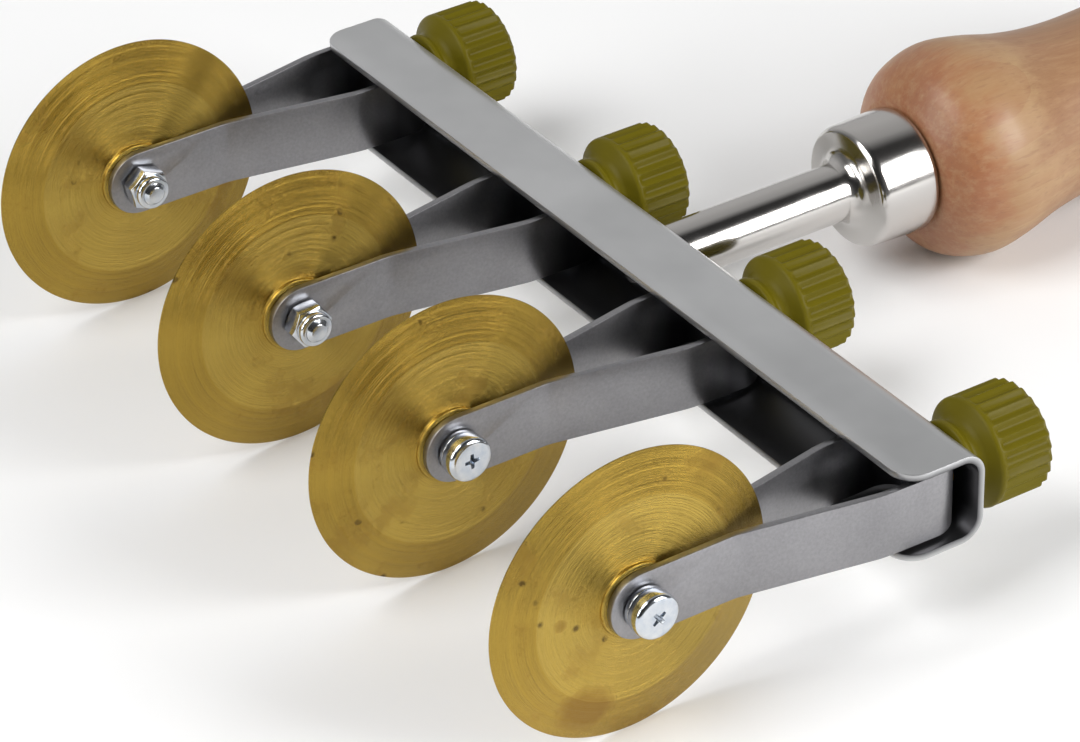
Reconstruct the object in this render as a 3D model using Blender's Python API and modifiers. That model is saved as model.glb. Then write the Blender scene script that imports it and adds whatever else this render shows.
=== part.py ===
"""Pastry cutter with four brass cutting wheels on forks that slide along a handled rail.

Everything is modelled in the tool's own frame and hung from one empty. In that frame X runs
along the rail, Y runs from the wheel axles back to the handle, and Z is square to the rail's
top flange, with the wheel axles on Y = Z = 0. The empty then tips the tool until its wheels
and its handle both touch the plane Z = 0. All values are in metres.
"""

from math import asin, ceil, copysign, cos, pi, radians, sin, tan

import bmesh
import bpy
from mathutils import Matrix, Vector

# Wheels: turned brass, a flat centre and a long bevel on both sides down to the edge.
WHEEL_RADIUS = 0.030
WHEEL_FLAT_RADIUS = 0.0213
WHEEL_HALF_THICKNESS = 0.0022
WHEEL_EDGE_HALF = 0.00015
HUB_RADIUS = 0.0078
HUB_HALF_LENGTH = 0.0030
HUB_BORE_RADIUS = 0.00265

# Forks: one strip bent into a U, with arms that run parallel beside the wheel and then splay.
FORK_X = (-0.0912, -0.0272, 0.0290, 0.0902)
STRIP_THICKNESS = 0.0015
STRIP_HALF_WIDTH = 0.0070
ARM_TIP_X = 0.0048
ARM_SPLAYED_X = 0.0104
ARM_BASE_X = 0.0108
FIRST_KINK_Y = 0.0205
SECOND_KINK_Y = 0.0500
FORK_BACK_Y = 0.0690
FORK_BEND_RADIUS = 0.0070
FIRST_KINK_RADIUS = 0.012
SECOND_KINK_RADIUS = 0.020

# Rail: a channel of folded sheet, open towards the wheels.
RAIL_HALF_LENGTH = 0.1024
RAIL_HALF_HEIGHT = 0.0097
RAIL_FRONT_Y = 0.0535
RAIL_BACK_Y = 0.0717
SHEET_THICKNESS = 0.0015
RAIL_BEND_RADIUS = 0.0050
RAIL_CORNER_RADIUS = 0.0055
SLOT_INNER_X = 0.0160
SLOT_OUTER_X = 0.0950
SLOT_HALF_HEIGHT = 0.0028

# Axles: M5 pan-head screws with a spring washer, and lock nuts on the other side.
SCREW_RADIUS = 0.0025
SCREW_HEAD_RADIUS = 0.0047
SCREW_HEAD_HEIGHT = 0.0033
SCREW_END = 0.0112
SPRING_WASHER_RADIUS = 0.0044
SPRING_WASHER_THICKNESS = 0.0011
NUT_ACROSS_FLATS = 0.0080
NUT_HEX_HEIGHT = 0.0037
NUT_COLLAR_RADIUS = 0.0036
NUT_HEIGHT = 0.0052

# Clamps: an M5 bolt from inside each fork through the rail's slot into a moulded knob.
BOLT_RADIUS = 0.0025
BOLT_HEAD_FLATS = 0.0080
BOLT_HEAD_HEIGHT = 0.0034
BOLT_END_Y = 0.0845
INSERT_RADIUS = 0.0042
INSERT_FRONT_Y = 0.0730
INSERT_BACK_Y = 0.0820
KNOB_RADIUS = 0.01115
KNOB_COLLAR_RADIUS = 0.0080
KNOB_SHOULDER_Y = 0.0772
KNOB_BACK_Y = 0.0897
KNOB_FLUTES = 26
FLUTE_DEPTH = 0.0005

# Stem: turned steel rod that swells into the ferrule, with a tang inside the handle.
STEM_RADIUS = 0.0061
STUD_RADIUS = 0.0030
STEM_STUD_FRONT_Y = 0.0625
STEM_NUT_FLATS = 0.0100
STEM_NUT_HEIGHT = 0.0050
FERRULE_RADIUS = 0.0131
FERRULE_FRONT_Y = 0.1160
FERRULE_SHOULDER_Y = 0.1172
FERRULE_BACK_Y = 0.1308
TANG_RADIUS = 0.0040
TANG_END_Y = 0.1900

# Handle: turned hardwood. Each pair is a distance from the axles and the radius there.
HANDLE_PROFILE = (
    (0.1311, 0.0143),
    (0.1340, 0.0188),
    (0.1380, 0.0215),
    (0.1445, 0.0230),
    (0.1520, 0.0220),
    (0.1600, 0.0200),
    (0.1680, 0.0187),
    (0.1775, 0.0182),
    (0.1900, 0.0186),
    (0.2120, 0.0194),
    (0.2320, 0.0180),
    (0.2430, 0.0135),
    (0.2465, 0.0070),
)
HANDLE_END_Y = 0.2472
HANDLE_BUTT_RADIUS = 0.0050
BULGE_Y = 0.1445
BULGE_RADIUS = 0.0230
TENON_RADIUS = 0.0098
TENON_FRONT_Y = 0.1185

GAP = 0.0003
CUT_MARGIN = 0.001
ROUND_STEPS = 24
SMALL_STEPS = 16
WHEEL_STEPS = 32
ARC_STEP = radians(22.5)

REST_TILT = asin((WHEEL_RADIUS - BULGE_RADIUS) / BULGE_Y)


def clear_scene():
    for obj in list(bpy.data.objects):
        bpy.data.objects.remove(obj, do_unlink=True)


def new_collection(name):
    made = bpy.data.collections.new(name)
    bpy.context.scene.collection.children.link(made)
    return made


def new_material(name, colour, roughness, metallic):
    made = bpy.data.materials.new(name)
    made.use_nodes = True
    shader = made.node_tree.nodes["Principled BSDF"]
    shader.inputs["Base Color"].default_value = (*colour, 1.0)
    shader.inputs["Roughness"].default_value = roughness
    shader.inputs["Metallic"].default_value = metallic
    return made


def rounded_path(corners, radii):
    """The corners as one path, with each inner corner turned by an arc of its radius."""
    corners = [Vector(corner) for corner in corners]
    path = [corners[0]]
    for before, corner, after, radius in zip(corners, corners[1:], corners[2:], radii):
        to_before = (before - corner).normalized()
        to_after = (after - corner).normalized()
        half = to_before.angle(to_after) / 2
        start = corner + to_before * (radius / tan(half))
        centre = corner + (to_before + to_after).normalized() * (radius / sin(half))
        turn = -copysign(pi - 2 * half, to_before.cross(to_after))
        steps = max(2, ceil(abs(turn) / ARC_STEP))
        for step in range(steps + 1):
            path.append(centre + Matrix.Rotation(turn * step / steps, 2) @ (start - centre))
    path.append(corners[-1])
    return path


def smooth_profile(points, steps):
    """A smooth curve through the points, by cubic pieces whose slopes come from the neighbours."""
    points = [Vector(point) for point in points]
    slopes = [(after - before) / 2 for before, after in zip(points, points[2:])]
    slopes = [points[1] - points[0], *slopes, points[-1] - points[-2]]
    curve = []
    for index in range(len(points) - 1):
        for step in range(steps):
            t = step / steps
            curve.append(
                points[index] * (2 * t**3 - 3 * t**2 + 1)
                + slopes[index] * (t**3 - 2 * t**2 + t)
                + points[index + 1] * (3 * t**2 - 2 * t**3)
                + slopes[index + 1] * (t**3 - t**2)
            )
    return [*curve, points[-1]]


def mesh_object(name, shape, collection):
    mesh = bpy.data.meshes.new(name)
    shape.to_mesh(mesh)
    shape.free()
    made = bpy.data.objects.new(name, mesh)
    collection.objects.link(made)
    return made


def finished_mesh(obj):
    """The object's mesh with its modifiers applied. The object itself is removed."""
    bpy.context.view_layer.update()
    graph = bpy.context.evaluated_depsgraph_get()
    mesh = bpy.data.meshes.new_from_object(obj.evaluated_get(graph))
    mesh.name = obj.name
    bpy.data.objects.remove(obj)
    return mesh


def boolean(obj, operation, cutter):
    modifier = obj.modifiers.new(cutter.name, "BOOLEAN")
    modifier.operation = operation
    modifier.object = cutter
    modifier.solver = "EXACT"


def as_cutter(obj):
    obj.hide_render = True
    obj.display_type = "WIRE"
    return obj


def ribbon(name, path, half_width, plane, thickness):
    """A bent strip: the path, in the plane XY or YZ, drawn out both ways and made thick."""
    shape = bmesh.new()
    rows = []
    for a, b in path:
        sides = (half_width, -half_width)
        if plane == "XY":
            rows.append([shape.verts.new((a, b, side)) for side in sides])
        else:
            rows.append([shape.verts.new((side, a, b)) for side in sides])
    for row, following in zip(rows, rows[1:]):
        shape.faces.new((row[0], row[1], following[1], following[0]))
    made = mesh_object(name, shape, parts)
    wall = made.modifiers.new("sheet", "SOLIDIFY")
    wall.thickness = thickness
    wall.offset = 0
    wall.use_even_offset = True
    return made


def prism(name, outline, half_length, axis):
    """A closed outline drawn out both ways along X, Y or Z, as a cutter."""
    shape = bmesh.new()
    ends = {
        "X": lambda a, b, side: (side, a, b),
        "Y": lambda a, b, side: (a, side, b),
        "Z": lambda a, b, side: (a, b, side),
    }
    corners = [shape.verts.new(ends[axis](a, b, -half_length)) for a, b in outline]
    face = shape.faces.new(corners)
    drawn = bmesh.ops.extrude_face_region(shape, geom=[face])
    lifted = [item for item in drawn["geom"] if isinstance(item, bmesh.types.BMVert)]
    along = Vector(ends[axis](0, 0, 2 * half_length))
    bmesh.ops.translate(shape, vec=along, verts=lifted)
    bmesh.ops.recalc_face_normals(shape, faces=shape.faces)
    return as_cutter(mesh_object(name, shape, cutters))


def cylinder_shape(radius, low, high, segments, turn):
    """A cylinder from low to high on the local Z axis, then turned by the matrix."""
    shape = bmesh.new()
    middle = Matrix.Translation((0, 0, (low + high) / 2))
    bmesh.ops.create_cone(
        shape,
        cap_ends=True,
        segments=segments,
        radius1=radius,
        radius2=radius,
        depth=high - low,
        matrix=turn @ middle,
    )
    return shape


def turned_mesh(name, profile, steps, turn):
    """A profile of (radius, height) points, outer side first and downwards, spun round Z."""
    shape = bmesh.new()
    corners = [shape.verts.new((radius, 0, height)) for radius, height in profile]
    closed = profile[0][0] > 0
    pairs = list(zip(corners, corners[1:]))
    if closed:
        pairs.append((corners[-1], corners[0]))
    for pair in pairs:
        shape.edges.new(pair)
    made = mesh_object(name, shape, parts)
    screw = made.modifiers.new("turned", "SCREW")
    screw.steps = steps
    screw.render_steps = steps
    screw.use_merge_vertices = True
    screw.merge_threshold = 0.00001
    mesh = finished_mesh(made)
    mesh.transform(turn)
    return mesh


def smooth(mesh):
    mesh.shade_smooth()
    mesh.set_sharp_from_angle(angle=radians(35))


def place(name, mesh, material, location=(0, 0, 0)):
    """Adds a finished piece to the tool, with its origin at the location in the tool's frame."""
    made = bpy.data.objects.new(name, mesh)
    if not mesh.materials:
        mesh.materials.append(material)
    parts.objects.link(made)
    made.parent = tool
    made.location = location
    return made


clear_scene()
parts = new_collection("pastry_cutter_wheel")
cutters = new_collection("cutters")

ALONG_X = Matrix.Rotation(pi / 2, 4, "Y")
ALONG_MINUS_X = Matrix.Rotation(-pi / 2, 4, "Y")
ALONG_Y = Matrix.Rotation(-pi / 2, 4, "X")

steel_sheet = new_material("satin_stainless", (0.62, 0.62, 0.63), 0.32, 1.0)
fork_steel = new_material("fork_stainless", (0.60, 0.60, 0.61), 0.36, 1.0)
brass = new_material("turned_brass", (0.76, 0.60, 0.27), 0.30, 1.0)
nickel = new_material("nickel_plate", (0.78, 0.76, 0.72), 0.10, 1.0)
zinc = new_material("zinc_plate", (0.72, 0.74, 0.78), 0.22, 1.0)
olive = new_material("olive_plastic", (0.33, 0.31, 0.02), 0.42, 0.0)
insert_brass = new_material("insert_brass", (0.72, 0.56, 0.25), 0.40, 1.0)
hardwood = new_material("hardwood", (0.55, 0.31, 0.19), 0.45, 0.0)

# The object's box runs from the wheels' front to the upper edge of the handle's flat end.
tool = bpy.data.objects.new("tool", None)
parts.objects.link(tool)
tool.rotation_euler = (-REST_TILT, 0, 0)
BACK_Y = HANDLE_END_Y * cos(REST_TILT) + HANDLE_BUTT_RADIUS * sin(REST_TILT)
tool.location = (0, (WHEEL_RADIUS - BACK_Y) / 2, WHEEL_RADIUS)


def make_rail():
    half_sheet = SHEET_THICKNESS / 2
    front = RAIL_FRONT_Y - CUT_MARGIN
    back = RAIL_BACK_Y - half_sheet
    side = RAIL_HALF_HEIGHT - half_sheet
    bend = RAIL_BEND_RADIUS - half_sheet
    section = rounded_path(((front, side), (back, side), (back, -side), (front, -side)), (bend, bend))
    rail = ribbon("rail", section, RAIL_HALF_LENGTH + CUT_MARGIN, "YZ", SHEET_THICKNESS)
    behind = RAIL_BACK_Y + 0.010
    plan = rounded_path(
        (
            (-RAIL_HALF_LENGTH, behind),
            (-RAIL_HALF_LENGTH, RAIL_FRONT_Y),
            (RAIL_HALF_LENGTH, RAIL_FRONT_Y),
            (RAIL_HALF_LENGTH, behind),
        ),
        (RAIL_CORNER_RADIUS, RAIL_CORNER_RADIUS),
    )
    boolean(rail, "INTERSECT", prism("rail_outline", plan, 0.020, "Z"))
    for side_name, sign in (("left", -1), ("right", 1)):
        boolean(rail, "DIFFERENCE", slot_cutter(side_name + "_slot", sign))
    stud_hole = cylinder_shape(STUD_RADIUS + GAP, RAIL_BACK_Y - 0.004, behind, SMALL_STEPS, ALONG_Y)
    boolean(rail, "DIFFERENCE", as_cutter(mesh_object("stud_hole", stud_hole, cutters)))
    place("rail", finished_mesh(rail), steel_sheet)


def slot_cutter(name, sign):
    """A slot with round ends through the rail's back, on the side of the sign."""
    outline = []
    for centre_x, start in (
        (SLOT_OUTER_X - SLOT_HALF_HEIGHT, -pi / 2),
        (SLOT_INNER_X + SLOT_HALF_HEIGHT, pi / 2),
    ):
        for step in range(9):
            angle = start + pi * step / 8
            x = centre_x + SLOT_HALF_HEIGHT * cos(angle)
            outline.append((sign * x, SLOT_HALF_HEIGHT * sin(angle)))
    cutter = prism(name, outline, 0.004, "Y")
    cutter.location.y = RAIL_BACK_Y
    return cutter


def make_forks():
    half_strip = STRIP_THICKNESS / 2
    tip = -(STRIP_HALF_WIDTH + CUT_MARGIN)
    back = FORK_BACK_Y - half_strip
    arm = [
        (ARM_TIP_X - half_strip, tip),
        (ARM_TIP_X - half_strip, FIRST_KINK_Y),
        (ARM_SPLAYED_X - half_strip, SECOND_KINK_Y),
        (ARM_BASE_X - half_strip, back),
    ]
    corners = arm + [(-x, y) for x, y in reversed(arm)]
    bend = FORK_BEND_RADIUS - half_strip
    radii = [FIRST_KINK_RADIUS, SECOND_KINK_RADIUS, bend]
    path = rounded_path(corners, radii + radii[::-1])
    fork = ribbon("fork", path, STRIP_HALF_WIDTH + CUT_MARGIN, "XY", STRIP_THICKNESS)
    outline = [(0.080, -STRIP_HALF_WIDTH), (0.080, STRIP_HALF_WIDTH)]
    for step in range(13):
        angle = pi / 2 + pi * step / 12
        outline.append((STRIP_HALF_WIDTH * cos(angle), STRIP_HALF_WIDTH * sin(angle)))
    boolean(fork, "INTERSECT", prism("fork_side_view", outline, 0.020, "X"))
    axle_hole = cylinder_shape(SCREW_RADIUS + GAP, -0.020, 0.020, SMALL_STEPS, ALONG_X)
    boolean(fork, "DIFFERENCE", as_cutter(mesh_object("axle_hole", axle_hole, cutters)))
    bolt_hole = cylinder_shape(BOLT_RADIUS + GAP, 0.060, 0.080, SMALL_STEPS, ALONG_Y)
    boolean(fork, "DIFFERENCE", as_cutter(mesh_object("bolt_hole", bolt_hole, cutters)))
    mesh = finished_mesh(fork)
    for number, x in enumerate(FORK_X, 1):
        place(f"fork_{number}", mesh, fork_steel, (x, 0, 0))


def make_wheels():
    upper = [
        (WHEEL_RADIUS, WHEEL_EDGE_HALF),
        (WHEEL_FLAT_RADIUS, WHEEL_HALF_THICKNESS),
        (HUB_RADIUS, WHEEL_HALF_THICKNESS),
        (HUB_RADIUS, HUB_HALF_LENGTH),
        (HUB_BORE_RADIUS, HUB_HALF_LENGTH),
    ]
    outer_down = upper[3::-1] + [(radius, -height) for radius, height in upper[:4]]
    profile = outer_down + [(HUB_BORE_RADIUS, -HUB_HALF_LENGTH), (HUB_BORE_RADIUS, HUB_HALF_LENGTH)]
    mesh = turned_mesh("wheel", profile, WHEEL_STEPS, ALONG_X)
    smooth(mesh)
    for number, x in enumerate(FORK_X, 1):
        place(f"wheel_{number}", mesh, brass, (x, 0, 0))


def hex_shape(flats, low, high, turn):
    """A hexagonal prism from low to high on the local Z axis, flats up, then turned."""
    flats_up = Matrix.Rotation(pi / 6, 4, "Z")
    return cylinder_shape(flats / 2 / cos(pi / 6), low, high, 6, turn @ flats_up)


def make_axles():
    """Screws, spring washers and lock nuts. Two axles have their heads on +X and two on -X."""
    washer_low = ARM_TIP_X + GAP
    washer_high = washer_low + SPRING_WASHER_THICKNESS
    head_low = washer_high + GAP
    head_high = head_low + SCREW_HEAD_HEIGHT
    head_edge = SCREW_HEAD_HEIGHT / 4
    screw_profile = [
        (0, head_high),
        (SCREW_HEAD_RADIUS * 0.6, head_high),
        (SCREW_HEAD_RADIUS * 0.9, head_high - head_edge),
        (SCREW_HEAD_RADIUS, head_high - 2.4 * head_edge),
        (SCREW_HEAD_RADIUS, head_low),
        (SCREW_RADIUS, head_low),
        (SCREW_RADIUS, -SCREW_END + SCREW_RADIUS / 4),
        (SCREW_RADIUS * 0.75, -SCREW_END),
        (0, -SCREW_END),
    ]
    washer_bore = SCREW_RADIUS + GAP
    washer_profile = [
        (SPRING_WASHER_RADIUS, washer_high),
        (SPRING_WASHER_RADIUS, washer_low),
        (washer_bore, washer_low),
        (washer_bore, washer_high),
    ]
    for side, turn, numbers in (("near", ALONG_X, (3, 4)), ("far", ALONG_MINUS_X, (1, 2))):
        screw = turned_mesh("axle_screw_" + side, screw_profile, SMALL_STEPS, turn)
        washer = turned_mesh("spring_washer_" + side, washer_profile, SMALL_STEPS, turn)
        nut = lock_nut_mesh("lock_nut_" + side, turn)
        smooth(screw)
        smooth(washer)
        for number in numbers:
            location = (FORK_X[number - 1], 0, 0)
            place(f"axle_screw_{number}", screw, zinc, location)
            place(f"spring_washer_{number}", washer, zinc, location)
            place(f"lock_nut_{number}", nut, zinc, location)


def lock_nut_mesh(name, turn):
    """A hexagon with a round collar that holds the locking ring, bored through."""
    top = -(ARM_TIP_X + GAP)
    nut = mesh_object(name, hex_shape(NUT_ACROSS_FLATS, top - NUT_HEX_HEIGHT, top, turn), parts)
    collar_low = top - NUT_HEIGHT
    collar = cylinder_shape(NUT_COLLAR_RADIUS, collar_low, top - 0.001, SMALL_STEPS, turn)
    boolean(nut, "UNION", as_cutter(mesh_object(name + "_collar", collar, cutters)))
    bore = cylinder_shape(SCREW_RADIUS + GAP, collar_low - 0.002, 0, SMALL_STEPS, turn)
    boolean(nut, "DIFFERENCE", as_cutter(mesh_object(name + "_bore", bore, cutters)))
    return finished_mesh(nut)


def make_clamps():
    """Bolts fixed in the forks, and the knobs whose threaded inserts run on them."""
    head_back = FORK_BACK_Y - STRIP_THICKNESS - GAP
    head_front = head_back - BOLT_HEAD_HEIGHT
    bolt = mesh_object("bolt", hex_shape(BOLT_HEAD_FLATS, head_front, head_back, ALONG_Y), parts)
    shank = cylinder_shape(BOLT_RADIUS, head_front + 0.001, BOLT_END_Y, SMALL_STEPS, ALONG_Y)
    boolean(bolt, "UNION", as_cutter(mesh_object("bolt_shank", shank, cutters)))
    bolt_mesh = finished_mesh(bolt)
    insert_profile = [
        (INSERT_RADIUS, INSERT_BACK_Y),
        (INSERT_RADIUS, INSERT_FRONT_Y),
        (BOLT_RADIUS + GAP, INSERT_FRONT_Y),
        (BOLT_RADIUS + GAP, INSERT_BACK_Y),
    ]
    insert_mesh = turned_mesh("insert", insert_profile, SMALL_STEPS, ALONG_Y)
    smooth(insert_mesh)
    knob_mesh = make_knob_mesh()
    for number, x in enumerate(FORK_X, 1):
        place(f"clamp_bolt_{number}", bolt_mesh, zinc, (x, 0, 0))
        place(f"knob_insert_{number}", insert_mesh, insert_brass, (x, 0, 0))
        place(f"knob_{number}", knob_mesh, olive, (x, 0, 0))


def make_knob_mesh():
    """A fluted head on a plain flared collar, with a blind hole for the insert and the bolt."""
    front = RAIL_BACK_Y + GAP
    edge = 0.0012
    rings = (
        (front, KNOB_COLLAR_RADIUS, 0),
        (front + 0.0014, KNOB_COLLAR_RADIUS, 0),
        (KNOB_SHOULDER_Y, KNOB_RADIUS - FLUTE_DEPTH, 0),
        (KNOB_SHOULDER_Y + 0.0006, KNOB_RADIUS, FLUTE_DEPTH),
        (KNOB_BACK_Y - edge, KNOB_RADIUS, FLUTE_DEPTH),
        (KNOB_BACK_Y, KNOB_RADIUS - edge, 0),
    )
    shape = bmesh.new()
    loops = []
    for y, radius, depth in rings:
        loop = []
        for step in range(2 * KNOB_FLUTES):
            angle = pi * step / KNOB_FLUTES
            reach = radius - depth * (step % 2)
            loop.append(shape.verts.new((reach * cos(angle), y, reach * sin(angle))))
        loops.append(loop)
    for loop, following in zip(loops, loops[1:]):
        for index in range(len(loop)):
            after = (index + 1) % len(loop)
            shape.faces.new((loop[index], loop[after], following[after], following[index]))
    shape.faces.new(loops[0])
    shape.faces.new(loops[-1])
    bmesh.ops.recalc_face_normals(shape, faces=shape.faces)
    knob = mesh_object("knob", shape, parts)
    hole_end = BOLT_END_Y + 0.0010
    hole = cylinder_shape(INSERT_RADIUS + GAP, front - 0.002, hole_end, SMALL_STEPS, ALONG_Y)
    boolean(knob, "DIFFERENCE", as_cutter(mesh_object("knob_hole", hole, cutters)))
    return finished_mesh(knob)


def make_stem():
    """Stud, rod, flat-faced ferrule with a cup for the handle's tenon, and the tang."""
    rod_front = RAIL_BACK_Y + GAP
    cup_radius = TENON_RADIUS + GAP
    cup_floor = TENON_FRONT_Y - GAP
    fillet = rounded_path(
        (
            (STEM_RADIUS, rod_front + 0.0005),
            (STEM_RADIUS, FERRULE_FRONT_Y),
            (FERRULE_RADIUS - 0.0009, FERRULE_FRONT_Y + 0.0005),
            (FERRULE_RADIUS - 0.0002, FERRULE_SHOULDER_Y),
        ),
        (0.0030, 0.0004),
    )
    rising = [
        (0, STEM_STUD_FRONT_Y),
        (STUD_RADIUS - 0.0006, STEM_STUD_FRONT_Y),
        (STUD_RADIUS, STEM_STUD_FRONT_Y + 0.0006),
        (STUD_RADIUS, rod_front),
        (STEM_RADIUS - 0.0005, rod_front),
        *[tuple(point) for point in fillet],
        (FERRULE_RADIUS, FERRULE_SHOULDER_Y + 0.0006),
        (FERRULE_RADIUS, FERRULE_BACK_Y - 0.0006),
        (FERRULE_RADIUS - 0.0006, FERRULE_BACK_Y),
        (cup_radius, FERRULE_BACK_Y),
        (cup_radius, cup_floor),
        (TANG_RADIUS, cup_floor),
        (TANG_RADIUS, TANG_END_Y),
        (0, TANG_END_Y),
    ]
    mesh = turned_mesh("stem", rising[::-1], ROUND_STEPS, ALONG_Y)
    smooth(mesh)
    place("stem", mesh, nickel)
    nut_back = RAIL_BACK_Y - SHEET_THICKNESS - GAP
    nut_front = nut_back - STEM_NUT_HEIGHT
    nut = mesh_object("stem_nut", hex_shape(STEM_NUT_FLATS, nut_front, nut_back, ALONG_Y), parts)
    bore = cylinder_shape(STUD_RADIUS + GAP, nut_front - 0.002, nut_back + 0.002, SMALL_STEPS, ALONG_Y)
    boolean(nut, "DIFFERENCE", as_cutter(mesh_object("stem_nut_bore", bore, cutters)))
    place("stem_nut", finished_mesh(nut), zinc)


def make_handle():
    outside = [(radius, y) for y, radius in smooth_profile(HANDLE_PROFILE, 2)]
    face = HANDLE_PROFILE[0][0]
    bore_radius = TANG_RADIUS + GAP
    bore_end = TANG_END_Y + 0.001
    rising = [
        (0, bore_end),
        (bore_radius, bore_end),
        (bore_radius, TENON_FRONT_Y),
        (TENON_RADIUS, TENON_FRONT_Y),
        (TENON_RADIUS, face),
        (outside[0][0] - 0.0010, face),
        *outside[1:],
        (HANDLE_BUTT_RADIUS, HANDLE_END_Y),
        (0, HANDLE_END_Y),
    ]
    mesh = turned_mesh("handle", rising[::-1], ROUND_STEPS, ALONG_Y)
    smooth(mesh)
    place("handle", mesh, hardwood)


make_rail()
make_forks()
make_wheels()
make_axles()
make_clamps()
make_stem()
make_handle()
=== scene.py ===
"""Looks for the pastry cutter: four brass wheels on forks that slide along a handled rail."""

import math

import bmesh
import bpy
from mathutils import Matrix, Vector


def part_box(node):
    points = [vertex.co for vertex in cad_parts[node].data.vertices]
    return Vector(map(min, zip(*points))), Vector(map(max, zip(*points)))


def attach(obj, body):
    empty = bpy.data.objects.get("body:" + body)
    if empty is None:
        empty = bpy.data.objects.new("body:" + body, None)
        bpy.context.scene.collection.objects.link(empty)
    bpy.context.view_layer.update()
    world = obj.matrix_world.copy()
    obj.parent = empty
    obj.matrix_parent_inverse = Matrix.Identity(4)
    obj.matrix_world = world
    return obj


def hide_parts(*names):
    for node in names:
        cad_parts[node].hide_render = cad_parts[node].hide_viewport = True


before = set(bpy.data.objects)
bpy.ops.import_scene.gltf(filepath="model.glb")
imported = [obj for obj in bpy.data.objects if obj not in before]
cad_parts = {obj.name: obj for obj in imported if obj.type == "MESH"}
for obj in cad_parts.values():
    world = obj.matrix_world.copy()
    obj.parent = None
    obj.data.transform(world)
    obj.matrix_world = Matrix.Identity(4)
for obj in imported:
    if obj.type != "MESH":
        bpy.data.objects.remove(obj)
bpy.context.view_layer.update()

# The bench and the lights: the cutter rests on its wheels and on the bulge of its handle, on a
# plain pale bench. A soft box stands on the right behind it, a weaker one on the left in front,
# and one hangs over the front. The room is white on the left, dark above the right-hand side,
# and dimmer towards the front.
camera = bpy.data.objects.new("camera", bpy.data.cameras.new("camera"))
bpy.context.scene.collection.objects.link(camera)
camera.data.lens = 157.7
camera.data.sensor_width = 36
camera.data.clip_start = 0.01
camera.location = (0.66123, -0.47239, 0.54816)
camera.rotation_euler = [math.radians(turn) for turn in (55.2506, 3.4711, 56.1856)]
bpy.context.scene.camera = camera
bpy.context.scene.view_settings.view_transform = "Standard"


def soft_box(name, place, size, power):
    """A rectangular area light that faces the middle of the cutter."""
    light = bpy.data.lights.new(name, "AREA")
    light.shape = "RECTANGLE"
    light.size, light.size_y = size
    light.energy = power
    lamp = bpy.data.objects.new(name, light)
    bpy.context.scene.collection.objects.link(lamp)
    lamp.location = place
    lamp.rotation_euler = (-Vector(place)).to_track_quat("-Z", "Y").to_euler()


soft_box("right_soft_box", (0.84, 0.50, 0.50), (0.60, 0.66), 12.0)
soft_box("front_soft_box", (-0.15, -1.05, 0.42), (0.60, 0.45), 4.0)
soft_box("front_overhead", (-0.05, -0.75, 1.05), (0.80, 0.60), 9.0)


class Signal:
    """An output of a shader node. Arithmetic on signals adds Math nodes."""

    def __init__(self, socket):
        self.socket = socket

    def worked(self, operation, first, second):
        made = self.socket.id_data.nodes.new("ShaderNodeMath")
        made.operation = operation
        connect(made.inputs[0], first)
        connect(made.inputs[1], second)
        return Signal(made.outputs[0])

    def __add__(self, other):
        return self.worked("ADD", self, other)

    def __mul__(self, other):
        return self.worked("MULTIPLY", self, other)

    def __sub__(self, other):
        return self.worked("SUBTRACT", self, other)

    def __rsub__(self, other):
        return self.worked("SUBTRACT", other, self)

    def __gt__(self, other):
        return self.worked("GREATER_THAN", self, other)

    def __abs__(self):
        return self.worked("ABSOLUTE", self, 0.0)

    def at_least(self, least):
        return self.worked("MAXIMUM", self, least)

    __radd__ = __add__
    __rmul__ = __mul__


def connect(socket, value):
    if isinstance(value, Signal):
        socket.id_data.links.new(value.socket, socket)
    elif socket.type == "RGBA":
        socket.default_value = (*value, 1)
    else:
        socket.default_value = value


class Shading:
    """A node tree, with one short call for each kind of node that the finishes use."""

    def __init__(self, tree):
        self.tree = tree

    def node(self, kind, settings=None, values=None, output=0):
        made = self.tree.nodes.new("ShaderNode" + kind)
        for name, setting in (settings or {}).items():
            if name == "stops":
                ramp = made.color_ramp.elements
                while len(ramp) < len(setting):
                    ramp.new(0.5)
                for stop, (position, colour) in zip(ramp, setting):
                    stop.position = position
                    stop.color = (*colour, 1)
            else:
                setattr(made, name, setting)
        for name, value in (values or {}).items():
            connect(made.inputs[name], value)
        return Signal(made.outputs[output])

    def ramp(self, signal, *stops):
        return self.node("ValToRGB", {"stops": stops}, {"Fac": signal})

    def mask(self, signal, none, full):
        """Black where the signal is at one level, and white where it is at the other."""
        return self.ramp(signal, *sorted([(none, (0, 0, 0)), (full, (1, 1, 1))]))

    def coordinate(self, point, axis):
        return self.node("SeparateXYZ", {}, {"Vector": point}, "XYZ".index(axis))

    def length(self, vector):
        return self.node("VectorMath", {"operation": "LENGTH"}, {0: vector}, 1)


world = bpy.data.worlds.new("room")
bpy.context.scene.world = world
world.use_nodes = True
room = Shading(world.node_tree)
facing = room.node("TexCoord")
height, east = room.coordinate(facing, "Z"), room.coordinate(facing, "X")
upward = room.node("Math", {"operation": "ARCTAN2"}, {0: height, 1: east})
right_over_to_left = upward * (1 / math.pi)
levels = ((0.00, 0.16), (0.26, 0.06), (0.30, 0.0334), (0.46, 0.0334))
levels += ((0.58, 0.441), (0.80, 0.60), (1.00, 0.55))
walls = room.ramp(right_over_to_left, *((place, (level, level, level)) for place, level in levels))
north = room.coordinate(facing, "Y")
dark_front = room.ramp(north * 0.5 + 0.5, (0.20, (0.25, 0.25, 0.25)), (0.50, (1, 1, 1)))
connect(world.node_tree.nodes["Background"].inputs["Color"], walls * dark_front)

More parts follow.
